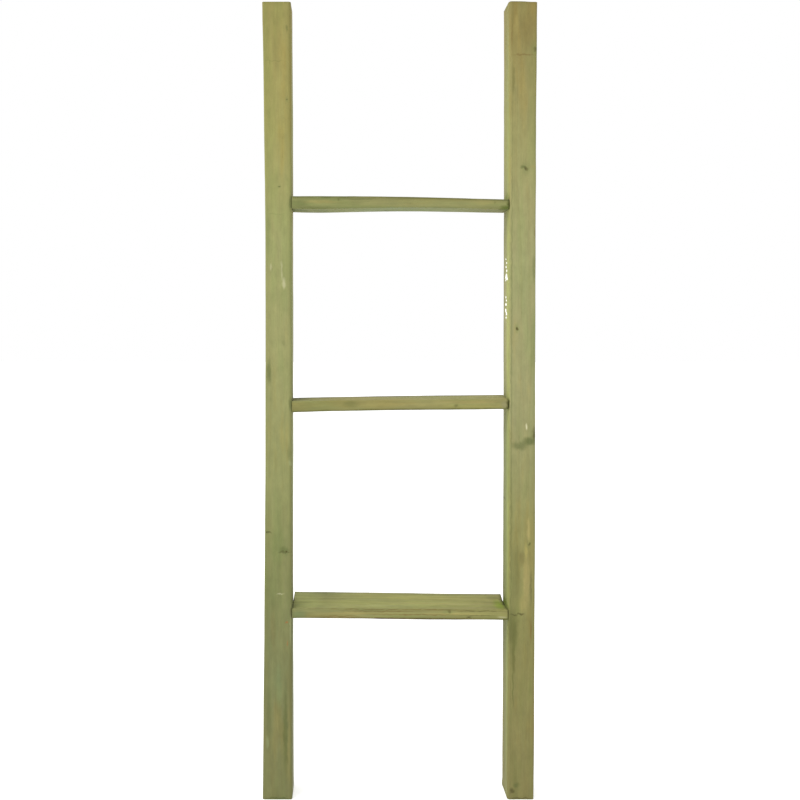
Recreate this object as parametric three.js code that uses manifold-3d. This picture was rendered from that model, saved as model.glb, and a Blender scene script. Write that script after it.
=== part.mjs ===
// Timber ladder frame with three flat treads.
// Two square stiles stand upright. The treads are butted between their inner faces, flush
// with their fronts. The upper two are as deep as the stiles and the bottom one stands proud
// behind them. Two wood screws pass through the stile into each tread end, with their heads
// sunk below its outer face.
// Millimetres. +Z is up, +X is to the right seen from the front, and -Y is the front.
// The origin is the middle of the frame's box on the ground.
import * as THREE from 'three';
import { mergeVertices } from 'three/addons/utils/BufferGeometryUtils.js';
import Module from 'manifold-3d';

const wasm = await Module();
wasm.setup();

// ---- Driving dimensions ----
const HEIGHT = 1200;
const STILE = 41; // side of each stile's square section
const STILE_ARRIS = 3; // rounding of its four long edges
const CLEAR_WIDTH = 326.4; // between the stiles' inner faces
const TREAD_ARRIS = 1.5; // rounding of its four long edges
const END_GAP = 0.4; // between a tread's end and the stile
const ARC_STEPS = 5; // facets on a quarter round

// Each tread's section, the height of its top face at mid-span, and how far its right end
// drops, in degrees.
const TREADS = [
  { name: 'bottom', depth: 71, thickness: 14.2, top: 288.8, drop: 0.42 },
  { name: 'middle', depth: STILE, thickness: 16, top: 604.8, drop: -0.65 },
  { name: 'top', depth: STILE, thickness: 15, top: 907.3, drop: 0.5 },
];

const SCREW_LENGTH = 70;
const SCREW_RADIUS = 2;
const SCREW_TIP = 5; // length of the tapered point
const HEAD_RADIUS = 4;
const HEAD_RIM = 0.5; // straight edge above the countersink
const HEAD_SINK = 3; // depth of the head's top below the stile's face
const SCREW_CLEARANCE = 0.4; // between the screw and its hole
const SCREW_SIDES = 20;
const RECESS_WIDTH = 0.9;
const RECESS_LENGTH = 4;
const RECESS_DEPTH = 2.2;
const SCREWS = [
  { name: 'front', setback: 12 }, // from the front face to the screw's axis
  { name: 'back', setback: 29 },
];

const SIDES = [
  { name: 'left', sign: -1 },
  { name: 'right', sign: 1 },
];

// ---- Derived places ----
const FRONT_Y = -Math.max(...TREADS.map((tread) => tread.depth)) / 2;
const STILE_Y = FRONT_Y + STILE / 2;
const STILE_X = (CLEAR_WIDTH + STILE) / 2;
const OUTER_X = CLEAR_WIDTH / 2 + STILE;

// ---- Materials: one for each mesh ----
const stileTimber = () => new THREE.MeshStandardMaterial({ color: 0x9b9a66, roughness: 0.75, metalness: 0 });
const treadTimber = () => new THREE.MeshStandardMaterial({ color: 0x9c9663, roughness: 0.75, metalness: 0 });
const zincSteel = () => new THREE.MeshStandardMaterial({ color: 0xb8ad84, roughness: 0.4, metalness: 0.9 });

// ---- Shape helpers ----

// A rectangle of the given width and height, centred on the origin, with round corners.
function roundedRectangle(width, height, radius) {
  const x = width / 2 - radius;
  const y = height / 2 - radius;
  const shape = new THREE.Shape();
  shape.absarc(x, y, radius, 0, Math.PI / 2);
  shape.absarc(-x, y, radius, Math.PI / 2, Math.PI);
  shape.absarc(-x, -y, radius, Math.PI, 1.5 * Math.PI);
  shape.absarc(x, -y, radius, 1.5 * Math.PI, 2 * Math.PI);
  return shape;
}

// A straight bar of that section, from z = 0 to z = length.
function roundedBar(width, height, radius, length) {
  const options = { depth: length, bevelEnabled: false, curveSegments: ARC_STEPS };
  return new THREE.ExtrudeGeometry(roundedRectangle(width, height, radius), options);
}

function toSolid(geometry) {
  const bare = geometry.clone();
  bare.deleteAttribute('normal');
  bare.deleteAttribute('uv');
  const merged = mergeVertices(bare);
  const triVerts = [];
  for (let i = 0; i < merged.index.count; i += 3) {
    const corners = [0, 1, 2].map((k) => merged.index.getX(i + k));
    if (new Set(corners).size === 3) triVerts.push(...corners);
  }
  const vertProperties = merged.attributes.position.array;
  const mesh = { numProp: 3, vertProperties, triVerts: new Uint32Array(triVerts) };
  return new wasm.Manifold(new wasm.Mesh(mesh));
}

function cut(geometry, cutters) {
  let solid = toSolid(geometry);
  for (const cutter of cutters) solid = solid.subtract(toSolid(cutter));
  const { vertProperties, triVerts } = solid.getMesh();
  const result = new THREE.BufferGeometry();
  result.setAttribute('position', new THREE.BufferAttribute(vertProperties, 3));
  result.setIndex(new THREE.BufferAttribute(triVerts, 1));
  result.computeVertexNormals();
  return result;
}

// ---- Screws: the axis is Y, the head's top is at y = 0 and the point is below it ----

// The screw's outline grown by the given margin, and its body turned from that outline.
// The hole's cutter is the same body with the screw's clearance as its margin, and it
// reaches out of the wood past the head.
function screwBody(margin, reach) {
  const head = HEAD_RADIUS + margin;
  const shank = SCREW_RADIUS + margin;
  const coneEnd = -HEAD_RIM - (HEAD_RADIUS - SCREW_RADIUS);
  const end = -SCREW_LENGTH - margin;
  const outline = [
    new THREE.Vector2(0, reach),
    new THREE.Vector2(head, reach),
    new THREE.Vector2(head, -HEAD_RIM),
    new THREE.Vector2(shank, coneEnd),
    new THREE.Vector2(shank, end + SCREW_TIP),
    new THREE.Vector2(0, end),
  ];
  return new THREE.LatheGeometry(outline.reverse(), SCREW_SIDES);
}

function screwGeometry() {
  const slot = new THREE.BoxGeometry(RECESS_LENGTH, 2 * RECESS_DEPTH, RECESS_WIDTH);
  return cut(screwBody(0, 0), [slot, slot.clone().rotateY(Math.PI / 2)]);
}

const screwHoleGeometry = () => screwBody(SCREW_CLEARANCE, 2 * HEAD_SINK);

// ---- Assembly ----
const group = new THREE.Group();

function addMesh(parent, name, geometry, material) {
  const mesh = new THREE.Mesh(geometry, material);
  mesh.name = name;
  parent.add(mesh);
  return mesh;
}

// Places an object as a screw, with its head at that side and its point towards the tread.
function placeAsScrew(object, side, screw) {
  object.position.set(side.sign * (OUTER_X - HEAD_SINK), FRONT_Y + screw.setback, 0);
  object.rotation.z = -side.sign * (Math.PI / 2);
  object.updateMatrix();
}

// A group at mid-span of each tread, turned with the tread. It holds the tread and its screws.
function treadGroup(tread) {
  const frame = new THREE.Group();
  frame.position.z = tread.top - tread.thickness / 2;
  frame.rotation.y = THREE.MathUtils.degToRad(tread.drop);
  frame.updateMatrix();
  return frame;
}

// The cutter of every screw hole at the given sides, in the tread's own frame.
function screwHoles(sides) {
  const holes = [];
  for (const side of sides) {
    for (const screw of SCREWS) {
      const seat = new THREE.Object3D();
      placeAsScrew(seat, side, screw);
      holes.push(screwHoleGeometry().applyMatrix4(seat.matrix));
    }
  }
  return holes;
}

function treadGeometry(tread) {
  const length = CLEAR_WIDTH - 2 * END_GAP;
  const board = roundedBar(tread.thickness, tread.depth, TREAD_ARRIS, length);
  board.translate(0, FRONT_Y + tread.depth / 2, -length / 2).rotateY(Math.PI / 2);
  return cut(board, screwHoles(SIDES));
}

function stileGeometry(side) {
  const bar = roundedBar(STILE, STILE, STILE_ARRIS, HEIGHT);
  bar.translate(side.sign * STILE_X, STILE_Y, 0);
  const holes = TREADS.flatMap((tread) => {
    const { matrix } = treadGroup(tread);
    return screwHoles([side]).map((hole) => hole.applyMatrix4(matrix));
  });
  return cut(bar, holes).translate(-side.sign * STILE_X, -STILE_Y, 0);
}

for (const side of SIDES) {
  const stile = addMesh(group, `stile_${side.name}`, stileGeometry(side), stileTimber());
  stile.position.set(side.sign * STILE_X, STILE_Y, 0);
}

for (const tread of TREADS) {
  const frame = treadGroup(tread);
  group.add(frame);
  addMesh(frame, `tread_${tread.name}`, treadGeometry(tread), treadTimber());
  for (const side of SIDES) {
    for (const screw of SCREWS) {
      const name = `screw_${tread.name}_${side.name}_${screw.name}`;
      placeAsScrew(addMesh(frame, name, screwGeometry(), zincSteel()), side, screw);
    }
  }
}

export default group;
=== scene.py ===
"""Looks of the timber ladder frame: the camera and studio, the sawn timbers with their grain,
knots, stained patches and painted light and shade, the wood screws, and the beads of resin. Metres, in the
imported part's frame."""
import math
from collections import namedtuple

import bmesh
import bpy
import numpy as np
from mathutils import Matrix, Vector, noise


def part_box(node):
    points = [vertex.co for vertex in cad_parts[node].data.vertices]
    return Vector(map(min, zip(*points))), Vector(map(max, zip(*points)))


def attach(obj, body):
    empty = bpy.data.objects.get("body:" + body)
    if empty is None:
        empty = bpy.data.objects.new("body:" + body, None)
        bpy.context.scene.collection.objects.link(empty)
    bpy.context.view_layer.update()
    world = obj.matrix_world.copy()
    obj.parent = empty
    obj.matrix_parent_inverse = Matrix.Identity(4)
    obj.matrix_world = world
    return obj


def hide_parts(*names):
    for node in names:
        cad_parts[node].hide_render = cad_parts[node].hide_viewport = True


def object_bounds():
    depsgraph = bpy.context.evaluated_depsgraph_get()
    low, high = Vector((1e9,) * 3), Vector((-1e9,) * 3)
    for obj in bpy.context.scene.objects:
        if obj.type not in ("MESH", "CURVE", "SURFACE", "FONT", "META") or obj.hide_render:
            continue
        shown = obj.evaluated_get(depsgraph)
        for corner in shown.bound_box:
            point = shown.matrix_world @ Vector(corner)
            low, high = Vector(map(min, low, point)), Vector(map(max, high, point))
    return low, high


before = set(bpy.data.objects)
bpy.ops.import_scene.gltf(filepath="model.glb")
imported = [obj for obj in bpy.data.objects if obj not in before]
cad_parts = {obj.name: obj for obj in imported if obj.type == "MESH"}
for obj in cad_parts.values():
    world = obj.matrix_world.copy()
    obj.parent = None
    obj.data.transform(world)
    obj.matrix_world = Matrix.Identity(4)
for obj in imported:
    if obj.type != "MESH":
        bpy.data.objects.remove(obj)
CAD_LOW, CAD_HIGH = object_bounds()

MM = 0.001
BODY = "root"
FRONT_Y = CAD_LOW.y


# ---- Camera, light and floor ----

CAMERA_SIDE = -85 * MM  # left of the frame's middle
CAMERA_DISTANCE = 1210 * MM  # from the front face
CAMERA_HEIGHT = 715 * MM
CAMERA_PITCH = 0.8  # degrees down
CAMERA_SENSOR = 36  # mm wide
CAMERA_LENS = 36.3  # mm
CAMERA_SHIFT = (0.0706, -0.0775)  # the photographed frame stands off the optical axis
FLOOR_REACH = 15  # each way from the middle
FLOOR_GLOW = 0.48  # keeps the pale floor even where the lamps don't reach


def look_at(thing, target):
    direction = Vector(target) - thing.location
    thing.rotation_euler = direction.to_track_quat("-Z", "Y").to_euler()


def link(thing):
    bpy.context.scene.collection.objects.link(thing)
    return thing


def make_camera():
    data = bpy.data.cameras.new("camera")
    data.sensor_width = CAMERA_SENSOR
    data.lens = CAMERA_LENS
    data.shift_x, data.shift_y = CAMERA_SHIFT
    data.clip_start, data.clip_end = 0.05, 100
    camera = link(bpy.data.objects.new("camera", data))
    camera.location = (CAMERA_SIDE, FRONT_Y - CAMERA_DISTANCE, CAMERA_HEIGHT)
    camera.rotation_euler = (math.radians(90 - CAMERA_PITCH), 0, 0)
    bpy.context.scene.camera = camera


def make_area_light(name, place, target, size, power, colour):
    data = bpy.data.lights.new(name, "AREA")
    data.shape = "DISK"
    data.size = size
    data.energy = power
    data.color = colour
    light = link(bpy.data.objects.new(name, data))
    light.location = place
    look_at(light, target)


def make_studio():
    scene = bpy.context.scene
    scene.view_settings.view_transform = "Standard"
    world = bpy.data.worlds.new("studio")
    world.use_nodes = True
    sky = world.node_tree.nodes["Background"]
    sky.inputs["Color"].default_value = (1, 1, 1, 1)
    sky.inputs["Strength"].default_value = 1.0
    scene.world = world
    make_area_light("key", (-2.4, -1.25, 3.5), (0, 0, 0.7), 2.6, 100, (1.0, 0.99, 0.96))
    make_area_light("fill", (0.8, -3.0, 1.0), (0, 0, 0.6), 1.8, 3, (0.97, 0.985, 1.0))


def make_floor():
    mesh = bpy.data.meshes.new("floor")
    corners = [(x * FLOOR_REACH, y * FLOOR_REACH, 0) for x, y in ((-1, -1), (1, -1), (1, 1), (-1, 1))]
    mesh.from_pydata(corners, [], [(0, 1, 2, 3)])
    floor = link(bpy.data.objects.new("floor", mesh))
    material = bpy.data.materials.new("pale_floor")
    material.use_nodes = True
    shader = material.node_tree.nodes["Principled BSDF"]
    shader.inputs["Base Color"].default_value = (0.72, 0.72, 0.72, 1)
    shader.inputs["Roughness"].default_value = 0.9
    shader.inputs["Emission Color"].default_value = (1, 1, 1, 1)
    shader.inputs["Emission Strength"].default_value = FLOOR_GLOW
    mesh.materials.append(material)


make_camera()
make_studio()
make_floor()


# ---- Node helper ----


class Graph:
    """A short way to write a material's nodes. An input is a number, a tuple or a socket."""

    def __init__(self, name):
        self.material = bpy.data.materials.new(name)
        self.material.use_nodes = True
        self.tree = self.material.node_tree
        self.tree.nodes.clear()

    def put(self, node, socket, value):
        target = node.inputs[socket]
        if isinstance(value, bpy.types.NodeSocket):
            self.tree.links.new(value, target)
        else:
            target.default_value = value

    def node(self, kind, inputs=None, **settings):
        made = self.tree.nodes.new(kind)
        for key, value in settings.items():
            setattr(made, key, value)
        for key, value in (inputs or {}).items():
            self.put(made, key, value)
        return made

    def math(self, operation, a, b=0.0):
        return self.node("ShaderNodeMath", {0: a, 1: b}, operation=operation).outputs[0]

    def add(self, a, b):
        return self.math("ADD", a, b)

    def times(self, a, b):
        return self.math("MULTIPLY", a, b)

    def vector(self, operation, a, b=(0, 0, 0)):
        return self.node("ShaderNodeVectorMath", {0: a, 1: b}, operation=operation).outputs["Vector"]

    def length(self, a):
        return self.node("ShaderNodeVectorMath", {0: a}, operation="LENGTH").outputs["Value"]

    def dot(self, a, b):
        return self.node("ShaderNodeVectorMath", {0: a, 1: b}, operation="DOT_PRODUCT").outputs["Value"]

    def split(self, vector):
        return self.node("ShaderNodeSeparateXYZ", {0: vector}).outputs

    def join(self, x, y, z):
        return self.node("ShaderNodeCombineXYZ", {0: x, 1: y, 2: z}).outputs[0]

    def noise(self, vector, scale, detail=2.0, roughness=0.5):
        """Noise whose features are scale to the metre along each axis. Its mean is a half."""
        stretched = self.vector("MULTIPLY", vector, scale)
        inputs = {"Vector": stretched, "Scale": 1.0, "Detail": detail, "Roughness": roughness}
        return self.node("ShaderNodeTexNoise", inputs).outputs

    def span(self, value, low, high, to_low=0.0, to_high=1.0, smooth=True):
        inputs = {"Value": value, "From Min": low, "From Max": high, "To Min": to_low, "To Max": to_high}
        kind = "SMOOTHSTEP" if smooth else "LINEAR"
        return self.node("ShaderNodeMapRange", inputs, interpolation_type=kind).outputs["Result"]

    def mix(self, factor, a, b, blend="MIX"):
        made = self.node("ShaderNodeMix", data_type="RGBA", blend_type=blend)
        self.put(made, 0, factor)
        self.put(made, 6, a)
        self.put(made, 7, b)
        return made.outputs[2]

    def tint(self, factor, colour, by):
        """The colour, multiplied by another where the factor is."""
        return self.mix(factor, colour, self.mix(1.0, colour, by, "MULTIPLY"))

    def ramp(self, factor, stops):
        made = self.node("ShaderNodeValToRGB", {0: factor})
        elements = made.color_ramp.elements
        elements.remove(elements[1])
        for number, (place, colour) in enumerate(stops):
            element = elements[0] if number == 0 else elements.new(place)
            element.position = place
            element.color = colour
        return made.outputs["Color"]

    def bump(self, height, strength, distance):
        inputs = {"Height": height, "Strength": strength, "Distance": distance}
        return self.node("ShaderNodeBump", inputs).outputs[0]

    def finish(self, inputs):
        shader = self.node("ShaderNodeBsdfPrincipled", inputs)
        output = self.node("ShaderNodeOutputMaterial")
        self.tree.links.new(shader.outputs[0], output.inputs["Surface"])
        return self.material


EXPOSURE = 0.725  # what the studio's light leaves of a colour as it is seen
SHEEN_SHARE = 0.012  # the part of what is seen that the surface's gloss adds


def seen(red, green, blue):
    """The base colour that looks like this 0 to 255 display colour under the studio light."""
    linear = [((c / 255 + 0.055) / 1.055) ** 2.4 for c in (red, green, blue)]
    return (*[(c - SHEEN_SHARE) * EXPOSURE for c in linear], 1.0)


# ---- Timber: what is on each piece ----

Knot = namedtuple("Knot", "place radius dark lift")  # the lift is how far it stands out of the face
# A patch of colour on a timber is a stained patch, except where its list marks it as painted light or
# painted shade.
Stain = namedtuple("Stain", "place size colour strength")  # half sizes across, into and along, in mm
Lump = namedtuple("Lump", "place size height")

GREEN = seen(122, 134, 80)
DEEP_GREEN = seen(88, 100, 54)
BLUE_GREEN = seen(122, 138, 94)
TAN = seen(170, 157, 97)
BROWN = seen(120, 96, 52)
DARK = seen(74, 68, 38)
RUST = seen(170, 108, 58)
PALE = seen(214, 210, 168)

LEFT_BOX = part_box("stile_left")
RIGHT_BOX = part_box("stile_right")
LEFT_X = (LEFT_BOX[0].x + LEFT_BOX[1].x) / 2
RIGHT_X = (RIGHT_BOX[0].x + RIGHT_BOX[1].x) / 2
BACK_Y = LEFT_BOX[1].y


def front(x_mm, z_mm, y_mm=0.0):
    """A point at or just behind the front face."""
    return Vector((x_mm * MM, FRONT_Y + y_mm * MM, z_mm * MM))


# The stiles' tones run lighter towards the upper middle and darker towards the foot: partly the wood's own
# tone, partly painted light falling off down the frame.
LEFT_TONES = [
    (0.03, seen(130, 130, 85)),
    (0.16, seen(129, 132, 88)),
    (0.28, seen(137, 138, 90)),
    (0.41, seen(149, 151, 99)),
    (0.54, seen(157, 157, 105)),
    (0.70, seen(164, 162, 109)),
    (0.84, seen(160, 155, 95)),
    (0.98, seen(157, 148, 90)),
]
RIGHT_TONES = [
    (0.03, seen(139, 133, 84)),
    (0.20, seen(141, 137, 85)),
    (0.34, seen(149, 147, 94)),
    (0.48, seen(161, 159, 112)),
    (0.68, seen(167, 164, 116)),
    (0.82, seen(161, 157, 104)),
    (0.93, seen(152, 144, 92)),
    (0.98, seen(147, 137, 84)),
]
TREAD_TONES = {
    "tread_bottom": [(0.0, seen(140, 142, 94)), (0.3, seen(156, 153, 99)), (1.0, seen(150, 146, 91))],
    "tread_middle": [(0.0, seen(146, 146, 93)), (0.35, seen(153, 150, 97)), (1.0, seen(160, 154, 99))],
    "tread_top": [(0.0, seen(146, 148, 95)), (0.4, seen(149, 147, 96)), (1.0, seen(149, 148, 97))],
}


def outer(box, y_mm, z_mm):
    """A point on a stile's outer face."""
    x = box[0].x if box is LEFT_BOX else box[1].x
    return Vector((x, FRONT_Y + y_mm * MM, z_mm * MM))


def back(x, z_mm):
    """A point on a stile's back face."""
    return Vector((x, BACK_Y, z_mm * MM))


LEFT_KNOTS = [
    Knot(front(-171.5, 376.5), 1.9 * MM, 0.9, 0.1 * MM),
    Knot(front(-200, 405), 1.3 * MM, 0.8, 0.1 * MM),
    Knot(front(-169.7, 1055), 1.4 * MM, 0.55, 0.0),
    Knot(front(-180.8, 925), 1.2 * MM, 0.4, 0.0),
    Knot(outer(LEFT_BOX, 24, 812), 4.5 * MM, 0.85, 0.3 * MM),
    Knot(outer(LEFT_BOX, 13, 150), 3.0 * MM, 0.85, 0.2 * MM),
    Knot(back(LEFT_X - 6 * MM, 505), 5.0 * MM, 0.85, 0.3 * MM),
    Knot(back(LEFT_X + 9 * MM, 1010), 3.0 * MM, 0.8, 0.2 * MM),
]
RIGHT_KNOTS = [
    Knot(front(188, 951.5), 3.2 * MM, 0.65, 0.15 * MM),
    Knot(front(201, 1129), 3.4 * MM, 0.5, 0.2 * MM),
    Knot(front(175.4, 712.5), 2.0 * MM, 0.9, 0.1 * MM),
    Knot(front(201, 551), 3.4 * MM, 0.35, 0.25 * MM),
    Knot(front(194.4, 388), 2.1 * MM, 0.6, 0.1 * MM),
    Knot(Vector((RIGHT_BOX[0].x, FRONT_Y + 32 * MM, 0.451)), 2.2 * MM, 0.6, 0.2 * MM),
    Knot(outer(RIGHT_BOX, 26, 700), 4.5 * MM, 0.85, 0.3 * MM),
    Knot(outer(RIGHT_BOX, 14, 1040), 3.0 * MM, 0.8, 0.2 * MM),
    Knot(back(RIGHT_X + 4 * MM, 330), 4.8 * MM, 0.85, 0.3 * MM),
    Knot(back(RIGHT_X - 8 * MM, 860), 3.2 * MM, 0.8, 0.2 * MM),
]
LEFT_STAINS_AND_PAINTED_LIGHT = [
    Stain(front(-168, 1060), (6, 12, 120), seen(156, 151, 92), 0.6),
    Stain(front(-185, 1140), (9, 12, 50), BROWN, 0.10),
    Stain(front(-170, 1160), (2, 4, 6), DEEP_GREEN, 0.4),
    Stain(front(-181, 925), (3, 3, 1.4), DEEP_GREEN, 0.5),
    Stain(front(-199, 850), (5, 12, 60), GREEN, 0.3),
    Stain(front(-178, 806), (2.0, 3, 11), PALE, 0.32),
    Stain(front(-177, 793), (2.2, 3, 10), PALE, 0.36),
    Stain(front(-174.3, 780), (3.3, 3, 9), PALE, 0.55),
    Stain(front(-193.8, 804), (1.7, 3, 8), PALE, 0.34),
    Stain(front(-175, 690), (4, 4, 4), DEEP_GREEN, 0.2),
    Stain(front(-197, 648), (4.5, 12, 22), DEEP_GREEN, 0.55),
    Stain(front(-165, 510), (2.6, 4, 5), seen(176, 184, 134), 0.5),
    Stain(front(-167, 525), (3, 6, 14), DEEP_GREEN, 0.25),
    Stain(front(-198, 405), (5, 5, 2), DARK, 0.7),
    Stain(front(-186, 385), (20, 14, 30), GREEN, 0.28),
    Stain(front(-173.5, 375.5), (11, 5, 1.9), DARK, 0.6),
    Stain(front(-174, 379), (10, 6, 5), DEEP_GREEN, 0.42),
    Stain(front(-180.6, 312), (7, 3, 1.4), PALE, 0.38),
    Stain(front(-191, 262), (5, 12, 46), BROWN, 0.18),
    Stain(front(-170.2, 268.5), (2.8, 3, 2.4), RUST, 0.62),
    Stain(front(-169.5, 238), (1.4, 3, 5.5), RUST, 0.45),
    Stain(front(-165, 262), (1.2, 5, 40), PALE, 0.25),
    Stain(front(-183, 172), (7, 12, 40), BLUE_GREEN, 0.45),
    Stain(front(-172.7, 100), (4.5, 12, 90), DEEP_GREEN, 0.5),
    Stain(front(-197.4, 125), (4.5, 12, 60), DEEP_GREEN, 0.32),
    Stain(front(-187, 115), (5.5, 12, 60), TAN, 0.13),
    Stain(front(-167, 80), (2.6, 12, 80), TAN, 0.2),
    Stain(front(-200, 87), (3.4, 12, 12), seen(152, 160, 112), 0.5),
    Stain(front(-188, 1112), (20, 3, 1.2), DEEP_GREEN, 0.2),
    Stain(front(-188, 884), (20, 3, 0.9), GREEN, 0.35),
    # Painted shade in the joints beside the treads' front ends, at the top, middle and bottom tread.
    Stain(front(-164.5, 900), (4, 8, 14), DEEP_GREEN, 0.5),
    Stain(front(-164.5, 598), (4, 8, 12), DEEP_GREEN, 0.45),
    Stain(front(-164, 284), (2.6, 8, 11), DARK, 0.5),
    Stain(front(-184, 2), (22, 14, 2.5), DEEP_GREEN, 0.55),
]
RIGHT_STAINS_AND_PAINTED_LIGHT = [
    # Painted highlight: a light stripe down the inner face just behind the rounded front arris.
    Stain(front(162.6, 600, 9), (3.6, 13, 700), seen(180, 186, 104), 0.62),
    Stain(front(167.2, 600, 1), (1.5, 4, 700), DEEP_GREEN, 0.3),
    # Painted shade down the back of the inner face.
    Stain(front(164, 600, 36), (3, 10, 640), DEEP_GREEN, 0.22),
    Stain(front(163, 320, 20), (5, 22, 340), GREEN, 0.45),
    Stain(front(163, 1020, 20), (4, 24, 170), seen(142, 154, 94), 0.42),
    Stain(front(163, 520, 15), (5, 24, 80), GREEN, 0.3),
    # These two: painted shade in the creases where the bottom and top treads' tops meet the inner face.
    Stain(front(163.2, 293, 32), (3, 36, 7), seen(98, 112, 34), 0.9),
    Stain(front(163.2, 911, 20), (3, 24, 7), seen(128, 142, 62), 0.6),
    Stain(front(189, 1156), (17, 14, 30), BROWN, 0.22),
    Stain(front(166.5, 1150), (1.8, 6, 28), BROWN, 0.28),
    Stain(front(173, 1166), (5, 10, 16), TAN, 0.45),
    Stain(front(184, 1121), (20, 4, 1.8), BROWN, 0.45),
    Stain(front(168.8, 1084), (2.4, 4, 28), seen(104, 104, 60), 0.42),
    Stain(front(184, 953), (6.5, 5, 3), DEEP_GREEN, 0.55),
    Stain(front(197, 955), (7, 4, 2.6), TAN, 0.4),
    Stain(front(202, 855), (2.0, 8, 11), BROWN, 0.38),
    Stain(front(200, 802), (3.4, 8, 26), DEEP_GREEN, 0.32),
    Stain(front(199, 690), (5, 12, 60), GREEN, 0.35),
    Stain(front(190, 563.8), (1.8, 3, 5.6), PALE, 1.0),
    Stain(front(202.5, 555), (4.5, 8, 12), DARK, 0.6),
    Stain(front(195, 543), (14, 6, 8), DEEP_GREEN, 0.65),
    Stain(front(180, 536), (16, 6, 8), DEEP_GREEN, 0.5),
    Stain(front(193.5, 408), (3, 8, 24), seen(180, 168, 108), 0.75),
    Stain(front(190, 378), (3.4, 8, 16), seen(178, 168, 100), 0.7),
    Stain(front(190.6, 330), (7, 8, 50), seen(172, 160, 102), 0.75),
    Stain(front(184, 366), (4.6, 8, 15), seen(118, 108, 62), 0.42),
    Stain(front(197.2, 322), (1.7, 6, 34), DARK, 0.32),
    Stain(front(174, 345), (8.5, 12, 62), DEEP_GREEN, 0.24),
    Stain(front(171.5, 280.6), (7, 3, 1.7), DARK, 0.62),
    Stain(front(182, 282.2), (7, 3, 2.0), DARK, 0.72),
    Stain(front(184.8, 296), (7, 10, 16), TAN, 0.4),
    Stain(front(170, 258), (9, 14, 38), seen(98, 100, 56), 0.62),
    Stain(front(171.4, 212), (3.6, 12, 36), seen(96, 98, 54), 0.55),
    Stain(front(170.6, 168), (1.6, 12, 36), DEEP_GREEN, 0.5),
    Stain(front(197.5, 256), (2.0, 8, 20), BROWN, 0.55),
    Stain(front(169.5, 13.5), (5, 8, 5), DARK, 0.62),
    Stain(front(177, 22), (6.5, 8, 5), DEEP_GREEN, 0.4),
    Stain(front(184, 1.5), (22, 14, 1.8), DARK, 0.45),
    # Painted shade in the joints beside the treads' front ends, at the top, middle and bottom tread.
    Stain(front(163.3, 900, 3), (2.0, 10, 11), DARK, 0.6),
    Stain(front(163.3, 598.5, 3), (2.0, 10, 11), DARK, 0.6),
    Stain(front(163.3, 283, 3), (2.0, 10, 10), DARK, 0.6),
]
TREAD_KNOTS = {
    "tread_bottom": [
        Knot(front(75, 285.8, 0), 2.6 * MM, 0.5, 0.1 * MM),
        Knot(front(96, 275, 52), 1.8 * MM, 0.8, 0.2 * MM),
    ],
    "tread_middle": [
        Knot(front(84, 597, 0), 2.6 * MM, 0.4, 0.0),
        Knot(front(-70, 597, 41), 3.4 * MM, 0.8, 0.2 * MM),
    ],
    "tread_top": [
        Knot(front(-93, 905, 0), 2.0 * MM, 0.35, 0.0),
        Knot(front(141, 901, 0), 1.6 * MM, 0.3, 0.0),
        Knot(front(-20, 892, 30), 2.0 * MM, 0.5, 0.2 * MM),
    ],
}
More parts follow.
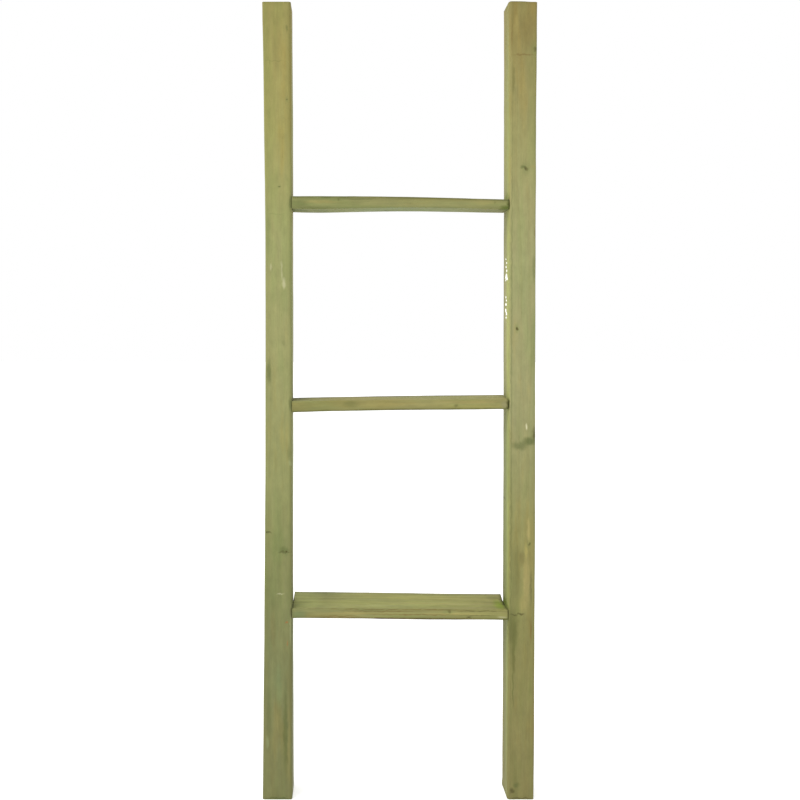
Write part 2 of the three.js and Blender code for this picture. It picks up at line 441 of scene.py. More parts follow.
TREAD_STAINS_AND_PAINTED_LIGHT = {
    "tread_bottom": [
        # Painted light: the whole top face lighter, as if lit more from above.
        Stain(front(-10, 290, 36), (210, 52, 3), seen(166, 168, 98), 0.66),
        # These two: painted light that cancels the left stile's shadow on the back left of the top face.
        Stain(front(-146, 294, 34), (36, 46, 8), seen(184, 188, 114), 0.85),
        Stain(front(-80, 290, 52), (60, 8, 6), seen(158, 158, 96), 0.4),
        Stain(front(-40, 289.5, 0.5), (120, 1.8, 1.5), BROWN, 0.55),
        Stain(front(60, 288.5, 1), (50, 2.2, 1.1), BROWN, 0.45),
        Stain(front(120, 286, 0), (46, 2.0, 1.2), DARK, 0.6),
        Stain(front(-30, 286, 0), (70, 3, 1.1), BROWN, 0.6),
        Stain(front(20, 281, 0), (90, 3, 1.1), BROWN, 0.60),
        Stain(front(-95, 279, 0), (40, 3, 1.0), BROWN, 0.55),
        Stain(front(118, 279.5, 0), (34, 3, 1.0), DARK, 0.5),
        Stain(front(-70, 283, 0), (60, 3, 1.8), TAN, 0.6),
        Stain(front(80, 282, 0), (60, 3, 1.6), TAN, 0.5),
        # Painted highlight on the top face at the right end.
        Stain(front(154, 289.5, 14), (9, 9, 3), seen(170, 176, 104), 0.5),
        Stain(front(154, 291, 22), (11, 26, 8), seen(136, 154, 48), 0.8),
        # These two: painted shade where the tread's right and left ends meet the stiles.
        Stain(front(166, 291, 34), (9, 44, 12), seen(66, 72, 22), 1.0),
        Stain(front(-163, 289, 26), (3.0, 30, 8), DARK, 0.8),
        Stain(front(0, 273.8, 0), (170, 4, 2.6), BROWN, 0.95),
        Stain(front(0, 273.2, 0), (170, 4, 2.0), DARK, 0.75),
        Stain(front(-152, 281, 0), (14, 5, 8), BLUE_GREEN, 0.6),
        Stain(front(-90, 276.5, 0), (44, 4, 1.6), seen(172, 150, 112), 0.5),
        Stain(front(154, 276.8, 0), (10, 4, 1.6), PALE, 0.4),
        Stain(front(104, 277.4, 0), (5, 3, 1.0), DARK, 0.8),
        Stain(front(40, 289, 62), (110, 2.5, 4), DEEP_GREEN, 0.30),
        Stain(front(30, 289, 26), (110, 4, 4), TAN, 0.25),
        Stain(front(150, 288, 52), (12, 12, 4), DEEP_GREEN, 0.3),
        Stain(front(-30, 289, 14), (90, 3, 3), PALE, 0.12),
    ],
    "tread_middle": [
        Stain(front(-120, 597, 2), (44, 30, 9), GREEN, 0.25),
        Stain(front(-74.5, 598.5, 2), (15, 8, 7), DEEP_GREEN, 0.34),
        Stain(front(20, 597, 2), (70, 20, 5), TAN, 0.22),
        Stain(front(100, 602, 0), (60, 5, 3), seen(172, 156, 98), 0.45),
        Stain(front(110, 595, 0), (70, 5, 3.5), seen(174, 166, 96), 0.45),
        Stain(front(158, 598, 0), (8, 8, 8), seen(148, 144, 110), 0.5),
        Stain(front(-150, 607, 34), (14, 16, 6), DARK, 0.6),
        # Painted shade in the joint at the front of the right end.
        Stain(front(164, 597, 0), (5, 5, 14), seen(84, 84, 36), 0.85),
        # Painted shade along the back top arris, over the light it catches from behind.
        Stain(front(0, 607, 43), (190, 12, 12), DARK, 0.95),
    ],
    "tread_top": [
        Stain(front(-118, 902, 0), (34, 12, 4), TAN, 0.5),
        Stain(front(-150, 900, 0), (16, 12, 7), DEEP_GREEN, 0.3),
        Stain(front(-62, 906, 0), (30, 4, 1.8), DEEP_GREEN, 0.35),
        Stain(front(60, 900, 0), (110, 10, 5), GREEN, 0.12),
        Stain(front(128, 902, 0), (26, 10, 6), TAN, 0.35),
        # These two: painted shade where the right end meets the stile, under the end and down its front.
        Stain(front(158, 893, 4), (12, 16, 4.5), seen(92, 108, 40), 0.85),
        Stain(front(164, 900, 0), (5, 5, 14), seen(84, 90, 36), 0.85),
        Stain(front(0, 893, 20), (170, 30, 3), BLUE_GREEN, 0.6),
        Stain(front(-130, 893, 20), (60, 30, 3), DEEP_GREEN, 0.6),
        Stain(front(140, 893, 20), (50, 30, 3), DEEP_GREEN, 0.35),
    ],
}


# ---- Timber: its grain ----

Timber = namedtuple("Timber", "node slot turn middle size")  # turn's columns are its own a, b, s axes

UPRIGHT = Matrix(((1, 0, 0), (0, 1, 0), (0, 0, 1)))  # a is X, b is Y and the length s is Z
LEVEL = Matrix(((0, 0, 1), (1, 0, 0), (0, 1, 0)))  # a is Y, b is Z and the length s is X


def span_in(node, turn):
    """A node's middle, and its size along the given axes, from its CAD mesh."""
    points = np.array([v.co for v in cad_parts[node].data.vertices])
    own = points @ np.array(turn)
    low, high = own.min(0), own.max(0)
    return turn @ Vector((low + high) / 2), Vector(high - low)


def lean(node):
    """How far a tread leans: the angle of its length above level."""
    points = np.array([v.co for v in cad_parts[node].data.vertices])
    return math.atan(np.polyfit(points[:, 0], points[:, 2], 1)[0])


def read_timber(node):
    if node.startswith("tread"):
        turn, slot = Matrix.Rotation(-lean(node), 3, "Y") @ LEVEL, "tread_timber"
    else:
        turn, slot = UPRIGHT, "stile_timber"
    middle, size = span_in(node, turn)
    return Timber(node, slot, turn, middle, size)


LATEWOOD = [
    (0.0, (0, 0, 0, 1)),
    (0.5, (0.12, 0.12, 0.12, 1)),
    (0.82, (0.8, 0.8, 0.8, 1)),
    (0.93, (1, 1, 1, 1)),
    (1.0, (0, 0, 0, 1)),
]
RING_WIDTH = 4.2 * MM
KNOT_TONES = [
    (0.0, seen(60, 56, 34)),
    (0.3, seen(80, 74, 42)),
    (0.6, seen(108, 102, 58)),
    (0.85, seen(90, 90, 50)),
    (1.0, seen(112, 116, 68)),
]
GREENER = (0.90, 0.975, 0.90, 1)
TANNER = (1.05, 0.97, 0.86, 1)
LATER = (0.80, 0.76, 0.62, 1)
ARRIS_TREATMENT_AND_SHADE = (0.50, 0.53, 0.42, 1)
DARKER_END = (0.74, 0.74, 0.66, 1)
SEED_STEP = Vector((1.37, 0.71, 2.93))  # how far apart in the noise two timbers lie


def ellipsoid(graph, where, timber, place, size, turn=0.0):
    """The distance from a place in units of an ellipsoid's own half sizes: 1 on its surface."""
    own = timber.turn.transposed() @ (place - timber.middle)
    inputs = {"Vector": where, "Location": own, "Rotation": (0, 0, turn), "Scale": size}
    return graph.length(graph.node("ShaderNodeMapping", inputs, vector_type="TEXTURE").outputs[0])


def own_sizes(timber, size_mm):
    """A listed patch's half sizes, which are given along X, Y and Z, on the timber's own axes."""
    across, into, along = size_mm
    if timber.slot == "tread_timber":
        return (into * MM, along * MM, across * MM)
    return (across * MM, into * MM, along * MM)


def strayed(graph, own, noise, reach):
    """The timber's own place, moved by coloured noise up to half of the reach either way."""
    way = graph.vector("SUBTRACT", noise["Color"], (0.5, 0.5, 0.5))
    return graph.vector("ADD", own, graph.vector("MULTIPLY", way, reach))


def pushed_rings(graph, timber, radius, edge, knots, pith):
    """The distance from the pith, pushed out round each knot, and each knot with its core and halo."""
    masks = []
    for knot in knots:
        out = timber.turn.transposed() @ (knot.place - timber.middle)
        turn = math.atan2(out.y - pith[1] * MM, out.x - pith[0] * MM)
        r = knot.radius
        core = ellipsoid(graph, edge, timber, knot.place, (6 * r, r, 1.1 * r), turn)
        halo = ellipsoid(graph, edge, timber, knot.place, (7 * r, 3 * r, 6 * r), turn)
        push = graph.span(halo, 0.0, 1.0, 1.0, 0.0)
        radius = graph.add(radius, graph.times(push, 1.3 * r))
        masks.append((knot, core, halo))
    return radius, masks


def latewood(graph, radius, grain, seed):
    """How much of a ring's dark late wood is here, which fades in patches."""
    uneven = graph.noise(graph.join(radius, 0.0, seed), (90, 1, 1), 2.0)[0]
    phase = graph.add(graph.times(radius, 1 / RING_WIDTH), graph.times(uneven, 2.2))
    late = graph.ramp(graph.math("FRACT", phase), LATEWOOD)
    patch = graph.span(graph.noise(grain, (30, 30, 3))[0], 0.36, 0.62, 0.12, 1.0)
    return graph.times(late, patch)


def end_grain(graph, timber, colour, late, from_pith, radius, seed):
    """Where the end grain and its drying checks are, and the colour with them. It takes more of the
    treatment than the sides do."""
    normal = graph.node("ShaderNodeNewGeometry").outputs["Normal"]
    facing = graph.math("ABSOLUTE", graph.dot(normal, timber.turn.col[2]))
    end = graph.span(facing, 0.6, 0.95)
    across = graph.split(from_pith)
    angle = graph.math("ARCTAN2", across[1], across[0])
    check = graph.noise(graph.join(angle, radius, seed), (42, 14, 1), 2.0)[0]
    crack = graph.span(graph.math("ABSOLUTE", graph.add(check, -0.5)), 0.004, 0.018, 1.0, 0.0)
    end_colour = graph.mix(1.0, colour, DARKER_END, "MULTIPLY")
    end_colour = graph.mix(graph.times(late, 0.45), end_colour, BROWN)
    end_colour = graph.mix(graph.times(crack, 0.5), end_colour, DEEP_GREEN)
    return end, crack, graph.mix(end, colour, end_colour)


def timber_material(timber, build):
    """Sawn softwood: rings round a pith outside the section, fibres, treatment tints, painted light and
    shade, and knots.
    The renderer gives up on a timber with some 50 patches of staining and painted light and 10 knots, and
    shows it black."""
    graph = Graph(timber.node + "_wood")
    place = graph.node("ShaderNodeTexCoord").outputs["Object"]
    inputs = {"Vector": place, "Location": timber.middle, "Rotation": timber.turn.to_euler("XYZ")}
    own = graph.node("ShaderNodeMapping", inputs, vector_type="TEXTURE").outputs[0]
    offset = build.seed * SEED_STEP
    shifted = graph.vector("ADD", own, offset)

    # The grain wanders a few millimetres off the length, and the edge of every mark is ragged.
    straying = strayed(graph, own, graph.noise(shifted, (8, 8, 1.7), 2.0), (0.012, 0.012, 0.0))
    grain = graph.vector("ADD", straying, offset)
    edge = strayed(graph, own, graph.noise(shifted, (170, 170, 90), 4.0), (0.005, 0.005, 0.009))

    # Growth rings, pushed aside by each knot.
    pith = build.pith
    from_pith = graph.vector("SUBTRACT", straying, (pith[0] * MM, pith[1] * MM, 0))
    radius = graph.length(graph.vector("MULTIPLY", from_pith, (1, 1, 0.012)))
    radius, knot_masks = pushed_rings(graph, timber, radius, edge, build.knots, pith)
    late = latewood(graph, radius, grain, build.seed)

    # Colour: tone along the length, then greener and tanner drifts, streaks, patches of staining and painted
    # light, and knots.
    along = graph.add(graph.times(graph.split(own)[2], 1 / timber.size.z), 0.5)
    colour = graph.ramp(along, build.tones)
    drift = graph.noise(grain, (34, 34, 5.0), 4.0, 0.6)[0]
    colour = graph.tint(graph.span(drift, 0.47, 0.66), colour, GREENER)
    colour = graph.tint(graph.span(drift, 0.50, 0.34), colour, TANNER)
    colour = graph.tint(graph.times(late, 0.38), colour, LATER)
    streak = graph.noise(grain, (120, 120, 6.0), 4.0, 0.65)[0]
    fibre = graph.noise(grain, (900, 900, 24), 3.0, 0.6)[0]
    mottle = graph.noise(shifted, (110, 110, 50), 4.0, 0.6)[0]
    light = 1.0
    for pattern, swing in ((streak, build.figure), (fibre, 0.05), (mottle, 0.10)):
        light = graph.add(light, graph.span(pattern, 0.25, 0.75, -swing, swing, False))
    for stain_or_painted_light in build.stains:
        reach = ellipsoid(graph, edge, timber, stain_or_painted_light.place, own_sizes(timber, stain_or_painted_light.size))
        colour = graph.mix(graph.span(reach, 0.25, 1.15, stain_or_painted_light.strength, 0.0), colour, stain_or_painted_light.colour)
    for knot, core, halo in knot_masks:
        colour = graph.mix(graph.span(halo, 0.1, 0.9, 0.5 * knot.dark, 0.0), colour, GREEN)
        knot_colour = graph.ramp(core, KNOT_TONES)
        colour = graph.mix(graph.span(core, 0.55, 1.3, knot.dark, 0.0), colour, knot_colour)
    colour = graph.mix(1.0, colour, graph.join(light, light, light), "MULTIPLY")

    # The arrises are darker: partly treatment that the edges hold, partly painted shade where they round
    # away from the light.
    arris = graph.node("ShaderNodeAttribute", attribute_name="arris").outputs["Fac"]
    colour = graph.tint(graph.times(arris, graph.span(mottle, 0.3, 0.7, 0.3, 0.8)), colour, ARRIS_TREATMENT_AND_SHADE)

    # Pores: short dark dashes along the fibres.
    pore = graph.span(graph.noise(grain, (1500, 1500, 85), 1.0)[0], 0.68, 0.76, 0.0, 0.22)
    colour = graph.mix(pore, colour, DEEP_GREEN)
    end, crack, colour = end_grain(graph, timber, colour, late, from_pith, radius, build.seed)

    # Relief: latewood stands up, and the soft wood between is torn by the saw.
    relief = graph.times(late, 0.35)
    for pattern, height in ((fibre, 0.9), (streak, 0.6), (pore, -1.2)):
        relief = graph.add(relief, graph.times(pattern, height))
    grit = graph.noise(shifted, (420, 420, 420), 3.0, 0.65)[0]
    relief = graph.add(relief, graph.times(grit, graph.add(graph.times(end, 1.6), 0.35)))
    relief = graph.add(relief, graph.times(graph.times(crack, end), -1.5))
    bump = graph.bump(relief, 0.55, 0.35 * MM)
    rough = graph.span(graph.noise(grain, (200, 200, 14), 2.0)[0], 0.3, 0.7, 0.66, 0.84, False)
    rough = graph.add(rough, graph.times(late, -0.08))
    return graph.finish({
        "Base Color": colour, "Roughness": rough, "Normal": bump, "Specular IOR Level": 0.25,
    })


# ---- Timber: its shape ----

Arris = namedtuple("Arris", "radius tint")  # the radius in mm; the tint is how dark it is
Bend = namedtuple("Bend", "axis face moves")  # face is -1 or 1; the moves are in mm, as bow takes them
# How a timber is made. The twist lifts its back edge, skew moves its points last of all, roughness
# scales the saw's waviness, the pith is in mm from the middle, and figure is how strong the streaks are.
Build = namedtuple("Build", "arrises bends twist skew roughness pith figure seed tones knots stains lumps")

RING_STEP = 1.7 * MM  # between the rings of points along a timber
FACE_STEP = 2.2 * MM  # between the points across a face
ARC_STEPS = 6
CAP_RINGS = 9
END_STEPS = 4
END_RADIUS = 0.7 * MM
ARRIS_REACH = 2.0 * MM  # how far the darker tint at an arris spreads over the faces
KNOT_SPREAD = 1.2  # how wide a knot's lift is, in its radii

# Waves by their features to the metre along each axis and their height.
SAWN_WAVES = [((25, 25, 9), 0.34 * MM), ((90, 90, 30), 0.16 * MM), ((320, 320, 60), 0.06 * MM)]
END_WAVES = [((260, 260, 1), 0.12 * MM), ((45, 45, 1), 0.2 * MM)]
ARRIS_WAVES = [((1, 1, 14), 0.30), ((1, 1, 60), 0.12)]  # as shares of the radius
ARRIS_STEP = 9  # how far apart in the noise two arrises lie

CORNERS = ((1, 1), (-1, 1), (-1, -1), (1, -1))


def outline(width, depth, tints):
    """A rounded rectangle as base + radius * pull, with each point's normal, its blend between
    two corners and how near it is to an arris."""
    base, pull, normal, blend, near = [], [], [], [], []
    for number, (ca, cb) in enumerate(CORNERS):
        following = (number + 1) % 4
        fa, fb = CORNERS[following]
        for step in range(ARC_STEPS + 1):
            angle = (number + step / ARC_STEPS) * math.pi / 2
            out = (math.cos(angle), math.sin(angle))
            base.append((ca * width / 2, cb * depth / 2))
            pull.append((out[0] - ca, out[1] - cb))
            normal.append(out)
            blend.append((number, following, 0.0))
            near.append(tints[number])
        side = width if fb == cb else depth
        steps = max(3, round(side / FACE_STEP))
        out = ((ca + fa) / 2, (cb + fb) / 2)
        for step in range(1, steps):
            t = step / steps
            base.append(((ca + (fa - ca) * t) * width / 2, (cb + (fb - cb) * t) * depth / 2))
            pull.append((out[0] - ca - (fa - ca) * t, out[1] - cb - (fb - cb) * t))
            normal.append(out)
            blend.append((number, following, t))
            reach = [math.exp(-share * side / ARRIS_REACH) for share in (t, 1 - t)]
            near.append(max(reach[0] * tints[number], reach[1] * tints[following]))
    return np.array(base), np.array(pull), np.array(normal), blend, np.array(near)


def rings_along(length, end_radius):
    """Each ring's place along the length, its inset by the rounded end, its scale and its cap."""
    rings = [(0.0, end_radius, k / CAP_RINGS, -1) for k in range(1, CAP_RINGS)]
    for step in range(END_STEPS):
        angle = step / END_STEPS * math.pi / 2
        cap = -1 if step == 0 else 0
        rings.append((end_radius * (1 - math.cos(angle)), end_radius * (1 - math.sin(angle)), 1.0, cap))
    half = [(place - length / 2, inset, scale, cap) for place, inset, scale, cap in rings]
    straight = length - 2 * end_radius
    count = round(straight / RING_STEP)
    body = [(straight * (k / count - 0.5), 0.0, 1.0, 0) for k in range(count + 1)]
    other = [(-place, inset, scale, -cap) for place, inset, scale, cap in reversed(half)]
    return np.array(half + body + other)


def noise_at(points, scale, seed):
    """Smooth noise from -1 to 1 at each point, with its features scaled along each axis."""
    shifted = points * np.array(scale) + np.array([seed * 7.3, seed * 3.1, seed * 5.7])
    return np.array([noise.noise(Vector(p)) for p in shifted])


def bow(moves, timber, along):
    """A smooth curve through moves in mm, set evenly from end to end, at places along it."""
    places = np.linspace(-1, 1, len(moves))
    curve = np.polyfit(places, np.array(moves) * MM, len(moves) - 1)
    return np.polyval(curve, along / (timber.size.z / 2))


def warp(points, timber, bends, twist):
    """Moves each bent face by its curve, and what lies between in proportion, then lifts the back."""
    for bend in bends:
        share = 0.5 + bend.face * points[:, bend.axis] / timber.size[bend.axis]
        points[:, bend.axis] += share * bow(bend.moves, timber, points[:, 2])
    if twist:
        share = 0.5 + points[:, 0] / timber.size.x
        points[:, 1] += share * bow(twist, timber, points[:, 2])


def waves_at(points, waves, seed, seed_step=1):
    """The sum of several waves of noise at each point."""
    return sum(noise_at(points, scale, seed + n * seed_step) * high for n, (scale, high) in enumerate(waves))


def corner_radii(along, build):
    """Each arris's radius along the length, which wavers."""
    radii = []
    for corner, arris in enumerate(build.arrises):
        line = np.stack([along * 0, along * 0 + corner * ARRIS_STEP, along], 1)
        radii.append(arris.radius * MM * (1 + waves_at(line, ARRIS_WAVES, build.seed, 0)))
    return np.array(radii).T


def raised(points, timber, build):
    """How far each point stands out of its face: the saw's waviness, the knots and the lumps."""
    height = waves_at(points, SAWN_WAVES, build.seed) * build.roughness
    knots = [Lump(knot.place, (knot.radius * KNOT_SPREAD,) * 3, knot.lift) for knot in build.knots]
    for lump in knots + build.lumps:
        centre = np.array(timber.turn.transposed() @ (lump.place - timber.middle))
        reach = (points - centre) / np.array(lump.size)
        height += lump.height * np.exp(-(reach**2).sum(1))
    return height


def timber_points(timber, build):
    """The timber's points in its own axes, ring by ring, then the middle of each end, with how many
    rings there are, how many points each has, and how dark each point is as part of an arris."""
    tints = [arris.tint for arris in build.arrises]
    base, pull, normal, blend, near = outline(timber.size.x, timber.size.y, tints)
    rings = rings_along(timber.size.z, END_RADIUS)
    along, inset, scale = rings[:, 0], rings[:, 1], rings[:, 2]
    radii = corner_radii(along, build)
    radius = np.stack([radii[:, a] * (1 - t) + radii[:, b] * t for a, b, t in blend], 1)
    flat = base[None] + pull[None] * radius[:, :, None]
    flat = (flat - normal[None] * inset[:, None, None]) * scale[:, None, None]
    own = np.concatenate([flat, np.broadcast_to(along[:, None, None], flat.shape[:2] + (1,))], 2)
    count = own.shape[1]
    points = own.reshape(-1, 3)
    outward = np.tile(normal, (len(along), 1)) * np.repeat(scale, count)[:, None]
    on_side = rings[:, 3] == 0

    height = raised(points, timber, build)
    points = points.copy()
    points[:, :2] += outward * height[:, None]
    end_height = waves_at(points, END_WAVES, build.seed + len(SAWN_WAVES))
    points[:, 2] += np.where(np.repeat(on_side, count), 0.0, end_height)
    centres = np.array([[0, 0, points[:count, 2].mean()], [0, 0, points[-count:, 2].mean()]])
    points = np.concatenate([points, centres])
    warp(points, timber, build.bends, build.twist)
    if build.skew:
        build.skew(points, timber)
    near_end = np.exp((np.abs(along) - timber.size.z / 2) / ARRIS_REACH)
    tint = np.maximum(near[None] * on_side[:, None], near_end[:, None])
    return points, len(along), count, np.append(tint.ravel(), [0, 0])


def timber_mesh(timber, build):
    points, rings, count, tint = timber_points(timber, build)
    world = points @ np.array(timber.turn).T + np.array(timber.middle)
    faces = []
    for ring in range(rings - 1):
        for j in range(count):
            k = (j + 1) % count
            low, high = ring * count, (ring + 1) * count
            faces.append((low + j, low + k, high + k, high + j))
    start, end, last = rings * count, rings * count + 1, (rings - 1) * count
    for j in range(count):
        k = (j + 1) % count
        faces.append((start, k, j))
        faces.append((end, last + j, last + k))
    mesh = bpy.data.meshes.new(timber.node)
    mesh.from_pydata(world.tolist(), [], faces)
    mesh.attributes.new("arris", "FLOAT", "POINT").data.foreach_set("value", tint)
    return mesh


# ---- Screws: in their own axes the head's top is at 0 and the point is at -length on Z ----

SCREW_SIDES = 28
HEAD_RIM = 0.5 * MM
SHANK_RADIUS = 1.45 * MM
THREAD_RADIUS = 2.0 * MM
CORE_RADIUS = 1.25 * MM
THREAD_PITCH = 2.0 * MM
THREAD_SHARE = 0.62  # of the length
POINT_LENGTH = 5 * MM
HEAD_EDGE = 0.15 * MM  # the bevel round the head's top
CONE_STEPS = 4
THREAD_STEPS = 8  # rings to each turn of the thread
RECESS_TOP = (2.3 * MM, 0.5 * MM, 0.4 * MM)  # half length, half width and height of the cross's arms
RECESS_BOTTOM = (0.7 * MM, 0.32 * MM, -2.3 * MM)

SCREW_SPIN = 0.7  # how far each screw's cross is turned past the one before

HOLE_SIDES = 32
HOLE_MARGIN = 0.35 * MM
HEAD_MARGIN = 0.15 * MM
HOLE_REACH = 10 * MM  # past the stile's face, above the head
HOLE_TIP = 1 * MM  # the drill's own point, past the screw's


def lathe(name, profile, sides):
    """A closed body turned round Z from (radius, height) points, the first and last on the axis."""
    points = [(0, 0, profile[0][1])]
    for radius, height in profile[1:-1]:
        for side in range(sides):
            angle = 2 * math.pi * side / sides
            points.append((radius * math.cos(angle), radius * math.sin(angle), height))
    points.append((0, 0, profile[-1][1]))
    return turned_body(name, points, len(profile) - 2, sides)


def turned_body(name, points, rings, sides):
    """Joins rings of points, listed from the top down between two end points, into a closed mesh."""
    faces = []
    last = len(points) - 1
    for side in range(sides):
        following = (side + 1) % sides
        faces.append((0, 1 + side, 1 + following))
        for ring in range(rings - 1):
            high, low = 1 + ring * sides, 1 + (ring + 1) * sides
            faces.append((high + side, low + side, low + following, high + following))
        high = 1 + (rings - 1) * sides
        faces.append((high + side, last, high + following))
    mesh = bpy.data.meshes.new(name)
    mesh.from_pydata(points, [], faces)
    return mesh


def screw_profile(head_radius, length):
    """Plain rings of the head and shank, then fine rings for the thread: (radius, height, threaded)."""
    profile = [(head_radius - HEAD_EDGE, 0.0, 0), (head_radius, -HEAD_EDGE, 0), (head_radius, -HEAD_RIM, 0)]
    for step in range(1, CONE_STEPS + 1):
        drop = (head_radius - SHANK_RADIUS) * step / CONE_STEPS
        profile.append((head_radius - drop, -HEAD_RIM - drop, 0))
    thread_top = -length * (1 - THREAD_SHARE)
    profile.append((SHANK_RADIUS, thread_top, 0))
    steps = round((length + thread_top) / THREAD_PITCH * THREAD_STEPS)
    for step in range(1, steps):
        height = thread_top - (length + thread_top) * step / steps
        profile.append((CORE_RADIUS, height, 1))
    return profile


def screw_mesh(head_radius, length):
    points = [(0, 0, 0)]
    profile = screw_profile(head_radius, length)
    for radius, height, threaded in profile:
        taper = min(1.0, (height + length) / POINT_LENGTH) if threaded else 1.0
        for side in range(SCREW_SIDES):
            share = side / SCREW_SIDES
            turn = (-height / THREAD_PITCH - share) % 1.0
            ridge = max(0.0, 1 - abs(turn - 0.5) * 4.5) * threaded
            r = (radius + (THREAD_RADIUS - CORE_RADIUS) * ridge) * max(taper, 0.04)
            angle = 2 * math.pi * share
            points.append((r * math.cos(angle), r * math.sin(angle), height))
    points.append((0, 0, -length))
    return turned_body("screw", points, len(profile), SCREW_SIDES)


def cross_recess():
    """The cutter of a tapered cross recess."""
    made = bmesh.new()
    for turn in (0, math.pi / 2):
        corners = []
        for long, short, height in (RECESS_TOP, RECESS_BOTTOM):
            for sx, sy in CORNERS:
                spot = Matrix.Rotation(turn, 3, "Z") @ Vector((sx * long, sy * short, height))
                corners.append(made.verts.new(spot))
        made.faces.new(corners[0:4])
        made.faces.new(corners[7:3:-1])
        for k in range(4):
            n = (k + 1) % 4
            made.faces.new((corners[k], corners[k + 4], corners[n + 4], corners[n]))
    mesh = bpy.data.meshes.new("cross_recess")
    bmesh.ops.recalc_face_normals(made, faces=made.faces)
    made.to_mesh(mesh)
    made.free()
    return mesh


def cut(mesh, cutters):
    """The mesh less the cutters, as a new mesh."""
    body = link(bpy.data.objects.new("cut_body", mesh))
    made = []
    for cutter in cutters:
        tool = link(bpy.data.objects.new("cut_tool", cutter))
        made.append(tool)
        step = body.modifiers.new("cut", "BOOLEAN")
        step.operation, step.solver, step.object = "DIFFERENCE", "MANIFOLD", tool
    bpy.context.view_layer.update()
    graph = bpy.context.evaluated_depsgraph_get()
    result = bpy.data.meshes.new_from_object(body.evaluated_get(graph))
    for thing in (body, *made):
        bpy.data.objects.remove(thing)
    return result


Screw = namedtuple("Screw", "tread stile place size")


def screw_nodes(tread):
    start = "screw_" + tread.node.removeprefix("tread_") + "_"
    return sorted(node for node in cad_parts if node.startswith(start))


def read_screw(node, tread):
    """A screw with its head outward and its point towards the middle of the tread."""
    middle, size = span_in(node, tread.turn)
    stile, side = ("stile_left", -1) if "_left_" in node else ("stile_right", 1)
    spin = Matrix.Rotation(math.pi / 2 * (1 - side), 3, "X")
    place = (tread.turn @ spin).to_4x4()
    place.translation = middle + tread.turn.col[2] * (side * size.z / 2)
    return Screw(tread.node, stile, place, size)


# ---- Making the pieces ----


def show(name, mesh, material, node=None, smooth_angle=35):
    mesh.materials.clear()
    mesh.materials.append(material)
    for polygon in mesh.polygons:
        polygon.use_smooth = True
    mesh.set_sharp_from_angle(angle=math.radians(smooth_angle))
    piece = link(bpy.data.objects.new(name, mesh))
    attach(piece, BODY)
    if node:
        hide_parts(node)
    return piece


ZINC_TONES = [(0.3, (0.50, 0.38, 0.14, 1)), (0.5, (0.62, 0.50, 0.22, 1)), (0.7, (0.55, 0.50, 0.34, 1))]
ZINC_BLOOM = (0.50, 0.49, 0.44, 1)
RESIN_TONES = [(0.3, (0.88, 0.86, 0.70, 1)), (0.6, (0.98, 0.98, 0.93, 1))]


def screw_material():
    """Yellow zinc plate over steel, with a little white bloom."""
    graph = Graph("yellow_zinc")
    place = graph.node("ShaderNodeTexCoord").outputs["Object"]
    cloud = graph.noise(place, (240, 240, 240), 3.0)[0]
    colour = graph.ramp(cloud, ZINC_TONES)
    bloom = graph.span(graph.noise(place, (700, 700, 700), 4.0, 0.7)[0], 0.56, 0.70, 0.0, 0.6)
    colour = graph.mix(bloom, colour, ZINC_BLOOM)
    metal = graph.span(bloom, 0.0, 0.6, 0.95, 0.45)
    rough = graph.add(graph.span(cloud, 0.3, 0.7, 0.30, 0.46), graph.times(bloom, 0.5))
    bump = graph.bump(graph.noise(place, (2600, 2600, 300), 2.0)[0], 0.35, 0.05 * MM)
    return graph.finish({"Base Color": colour, "Metallic": metal, "Roughness": rough, "Normal": bump})


SKEW_REACH = 20 * MM  # down from the right stile's top
SKEW_RISE = 0.5 * MM
SKEW_FALL = 1.2 * MM
LONG_CORNER = 2.6 * MM
LONG_CORNER_REACH = (30 * MM, 15 * MM)  # behind the stile, and from the tread's end
FOOT_SPLINTER = Lump(Vector((RIGHT_BOX[0].x, BACK_Y, 4 * MM)), (4 * MM, 5 * MM, 5 * MM), 0.9 * MM)


def near_far_end(points, timber, reach):
    """How near each point is to the far end of its timber's length: 1 at the end, 0 at the reach."""
    return np.clip((points[:, 2] - timber.size.z / 2 + reach) / reach, 0, 1)


def askew(points, timber):
    """The right stile's top is cut a little out of square."""
    across = np.clip(points[:, 0] / timber.size.x * 2, -0.2, 0.6)
    points[:, 2] += near_far_end(points, timber, SKEW_REACH) * (SKEW_RISE - SKEW_FALL * across)


def long_corner(points, timber):
    """The bottom tread's right end is cut a little long behind the stile."""
    reach, end_reach = LONG_CORNER_REACH
    behind = np.clip((points[:, 0] + timber.middle.y - BACK_Y) / reach, 0, 1)
    points[:, 2] += behind * near_far_end(points, timber, end_reach) * LONG_CORNER


LEFT_BENDS = [Bend(0, -1, (-3.2, -0.4, 1.6, 1.4, -2.5)), Bend(0, 1, (0.7, 0.3, 0.4, 0.4, -0.7))]
RIGHT_BENDS = [Bend(0, -1, (-0.6, -0.2, -0.3, -0.4, -1.4)), Bend(0, 1, (-1.5, -0.5, -0.8, -1.0, 0.1))]
TREAD_BENDS = {
    "tread_bottom": [Bend(1, -1, (-0.6, -0.3, -0.8, -0.9, -0.9)), Bend(1, 1, (0.4, 0.2, 0.2, 0.4, 0.7))],
    "tread_middle": [Bend(1, -1, (-0.6, 0.5, 0.6, 0.7, 0.4)), Bend(1, 1, (0.4, 0.4, 0.2, -0.2, -0.9))],
    "tread_top": [Bend(1, -1, (-1.2, -1.0, 0.9, 0.9, 0.1)), Bend(1, 1, (2.1, 2.5, 2.5, 1.3, -0.3))],
}
TREAD_TWISTS = {  # how far the back edge is lifted, in mm
    "tread_bottom": (2.9, 2.5, 1.8, 0.9, 1.0),
    "tread_middle": (1.3, 2.1, 2.8, 3.2, 3.8),
    "tread_top": None,
}
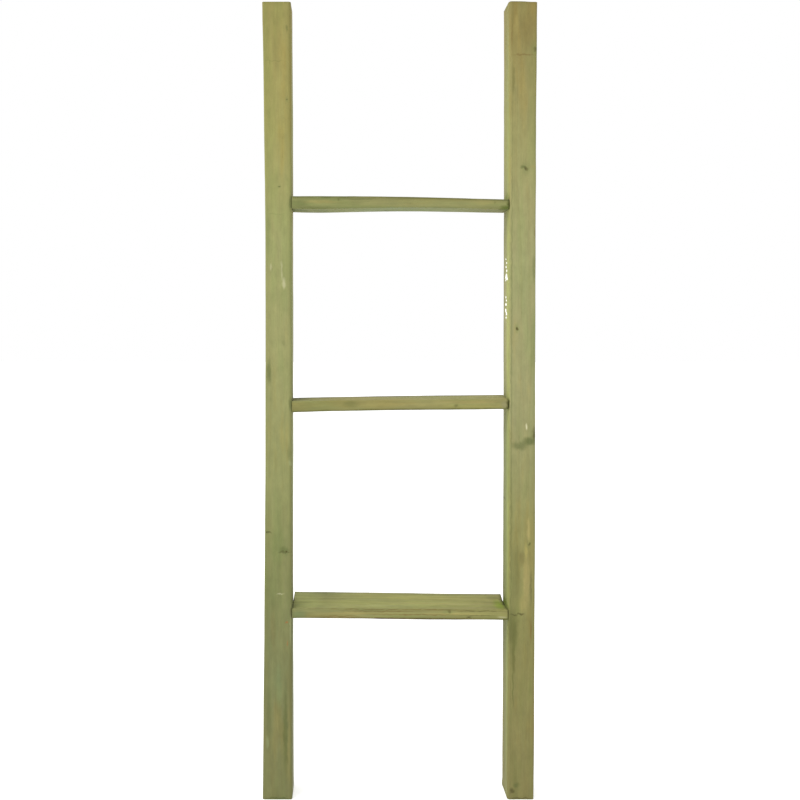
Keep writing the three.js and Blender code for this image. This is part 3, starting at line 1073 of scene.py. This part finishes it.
# Each tread's arrises in the order back top, front top, front bottom, back bottom.
TREAD_ARRISES = {
    "tread_bottom": [Arris(1.3, 1.4), Arris(1.3, 0.3), Arris(1.3, 1.5), Arris(1.3, 1.0)],
    "tread_middle": [Arris(1.3, 1.7), Arris(1.6, 0.2), Arris(1.3, 1.6), Arris(1.3, 1.0)],
    "tread_top": [Arris(1.3, 1.0), Arris(1.3, 1.7), Arris(1.3, 0.3), Arris(1.3, 1.7)],
}


def tread_build(node, skew, pith, figure, seed):
    return Build(
        arrises=TREAD_ARRISES[node], bends=TREAD_BENDS[node], twist=TREAD_TWISTS[node], skew=skew,
        roughness=1.3, pith=pith, figure=figure, seed=seed,
        tones=TREAD_TONES[node], knots=TREAD_KNOTS[node], stains=TREAD_STAINS_AND_PAINTED_LIGHT[node], lumps=[],
    )


# A stile's arrises go round from the back one on its +X side, over the back.
BUILDS = {
    "stile_left": Build(
        arrises=[Arris(2.6, 1), Arris(2.6, 1), Arris(2.6, 0.2), Arris(2.6, 0.6)],
        bends=LEFT_BENDS, twist=None, skew=None, roughness=1.0, pith=(18, 74), figure=0.07, seed=1,
        tones=LEFT_TONES, knots=LEFT_KNOTS, stains=LEFT_STAINS_AND_PAINTED_LIGHT, lumps=[],
    ),
    "stile_right": Build(
        arrises=[Arris(2.6, 1), Arris(2.6, 1), Arris(4.4, 0.1), Arris(2.2, 0.35)],
        bends=RIGHT_BENDS, twist=None, skew=askew, roughness=1.0, pith=(-24, 68), figure=0.07, seed=2,
        tones=RIGHT_TONES, knots=RIGHT_KNOTS, stains=RIGHT_STAINS_AND_PAINTED_LIGHT, lumps=[FOOT_SPLINTER],
    ),
    "tread_bottom": tread_build("tread_bottom", long_corner, (74, -56), 0.20, 3),
    "tread_middle": tread_build("tread_middle", None, (52, 44), 0.11, 4),
    "tread_top": tread_build("tread_top", None, (58, -42), 0.12, 5),
}

timbers = {node: read_timber(node) for node in BUILDS}
treads = [timbers[node] for node in BUILDS if node.startswith("tread")]
screws = {node: read_screw(node, tread) for tread in treads for node in screw_nodes(tread)}


def hole_cutter(screw):
    """The countersunk hole of a screw, in the row frame."""
    head = screw.size.x / 2 + HEAD_MARGIN
    shank = THREAD_RADIUS + HOLE_MARGIN
    length = screw.size.z
    profile = [
        (0, HOLE_REACH), (head, HOLE_REACH), (head, -HEAD_RIM), (shank, shank - head - HEAD_RIM),
        (shank, -length), (0, -length - HOLE_TIP),
    ]
    mesh = lathe("hole", profile, HOLE_SIDES)
    mesh.transform(screw.place)
    return mesh


def make_timber(node, build):
    timber = timbers[node]
    holes = [hole_cutter(screw) for screw in screws.values() if node in (screw.tread, screw.stile)]
    mesh = cut(timber_mesh(timber, build), holes)
    show(node + "_wood", mesh, timber_material(timber, build), node)


def make_screws():
    material = screw_material()
    for number, node in enumerate(sorted(screws)):
        screw = screws[node]
        mesh = cut(screw_mesh(screw.size.x / 2, screw.size.z), [cross_recess()])
        mesh.transform(screw.place @ Matrix.Rotation(number * SCREW_SPIN, 4, "Z"))
        show(node + "_steel", mesh, material, node, 30)


def resin_material():
    """Dried resin: pale, its gloss varying in patches."""
    graph = Graph("dry_resin")
    place = graph.node("ShaderNodeTexCoord").outputs["Object"]
    cloud = graph.noise(place, (900, 900, 500), 3.0)[0]
    colour = graph.ramp(cloud, RESIN_TONES)
    rough = graph.span(cloud, 0.3, 0.7, 0.22, 0.5)
    bump = graph.bump(cloud, 0.4, 0.1 * MM)
    return graph.finish({"Base Color": colour, "Roughness": rough, "Normal": bump})


# Each bead of resin on the right stile's inner face: how far it is from the front, its height, and its
# half width and half height, in mm.
RESIN = [
    (23, 818, 2.2, 1.3), (18, 812, 2.2, 1.6), (22, 806, 3.2, 2.0), (17, 800, 3.6, 2.2), (20, 792, 8.5, 4.4),
    (14, 788, 5.5, 2.8), (24, 786, 3.0, 1.8), (22, 760, 3.4, 2.2), (18, 755, 3.6, 2.0), (21, 749, 6.5, 2.6),
    (23, 740, 5.0, 3.6), (17, 735, 6.0, 3.4), (20, 729, 4.6, 2.0),
]
RESIN_THICKNESS = 0.7 * MM


def make_resin():
    """Beads of resin, each a lumpy dome that is wider at its lower end, half sunk in the wood."""
    made = bmesh.new()
    for number, (y_mm, z_mm, wide, tall) in enumerate(RESIN):
        bead = bmesh.ops.create_icosphere(made, subdivisions=3, radius=1.0)["verts"]
        centre = Vector((RIGHT_BOX[0].x, FRONT_Y + y_mm * MM, z_mm * MM))
        for vert in bead:
            lump = 1 + 0.28 * noise.noise(vert.co * 1.6 + Vector((number * 3.1, 0, 0)))
            run = 1 - 0.32 * vert.co.z
            size = Vector((RESIN_THICKNESS, wide * MM * run, tall * MM)) * lump
            vert.co = centre + Vector(c * d for c, d in zip(vert.co, size))
    mesh = bpy.data.meshes.new("resin_beads")
    made.to_mesh(mesh)
    made.free()
    show("resin_beads", mesh, resin_material())


for node, build in BUILDS.items():
    make_timber(node, build)
make_screws()
make_resin()
